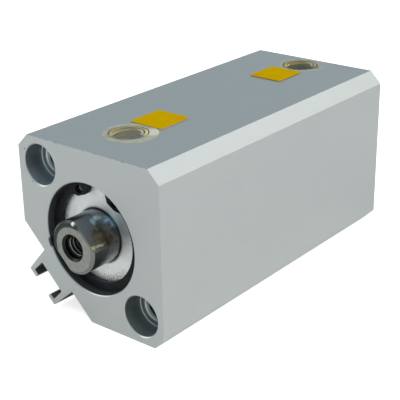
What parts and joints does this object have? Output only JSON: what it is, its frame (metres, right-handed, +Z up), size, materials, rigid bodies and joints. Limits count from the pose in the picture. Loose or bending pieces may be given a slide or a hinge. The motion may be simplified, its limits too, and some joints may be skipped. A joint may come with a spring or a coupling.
{
  "type": "compact pneumatic cylinder",
  "caption": "Square-bodied double-acting air cylinder with switch rails on one cut corner, diagonal counterbored mounting holes, taped ports and a female-threaded rod.",
  "frame": {"origin": "point where the rod axis meets the front mounting face", "axes": "+Z up out of the port face; the rod points to -Y; the tube runs from Y 0 to +Y; +X is to the right when the rod end is looked at"},
  "size_m": [0.04, 0.09, 0.0402],
  "materials": {
    "anodised_tube": "matte clear anodised",
    "turned_aluminium": "fine turned",
    "spring_steel": "black phosphated",
    "rod_steel": "ground and plated, worn",
    "plated_steel": "zinc plated",
    "bronze": "sintered, oiled",
    "nitrile": "satin",
    "polyurethane": "satin",
    "wear_band": "satin",
    "bonded_magnet": "matte",
    "clear_film": "clear gloss",
    "yellow_tab": "satin"
  },
  "bodies": {
    "tube": {"cylinder_body": "anodised_tube", "rod_cover": "turned_aluminium", "retaining_ring": "spring_steel", "rod_bush": "bronze", "rod_seal": "nitrile", "cover_gasket": "nitrile", "head_plate": "turned_aluminium", "head_gasket": "nitrile", "rear_bumper": "polyurethane"},
    "sliding_rings": {"piston_seal": "nitrile", "wear_ring": "wear_band"},
    "rod_and_piston": {"piston_rod": "rod_steel", "piston_front": "turned_aluminium", "piston_rear": "turned_aluminium", "piston_magnet": "bonded_magnet", "piston_gasket": "nitrile", "piston_nut": "plated_steel", "front_bumper": "polyurethane"},
    "front_port_seal": {"port_seal_front": "clear_film", "pull_tab_front": "yellow_tab"},
    "rear_port_seal": {"port_seal_rear": "clear_film", "pull_tab_rear": "yellow_tab"}
  },
  "joints": [
    {"name": "rod_slide", "type": "slide", "parent": "tube", "child": "sliding_rings", "axis": [0, -1, 0], "range_m": [0, 0.04]},
    {"name": "rod_turn", "type": "hinge", "parent": "sliding_rings", "child": "rod_and_piston", "pos_m": [0, 0, 0], "axis": [0, -1, 0], "continuous": true},
    {"name": "seal_front_lift", "type": "slide", "parent": "tube", "child": "front_port_seal", "axis": [0, 0, 1], "range_m": [0, 0.03]},
    {"name": "seal_rear_lift", "type": "slide", "parent": "tube", "child": "rear_port_seal", "axis": [0, 0, 1], "range_m": [0, 0.03]}
  ]
}
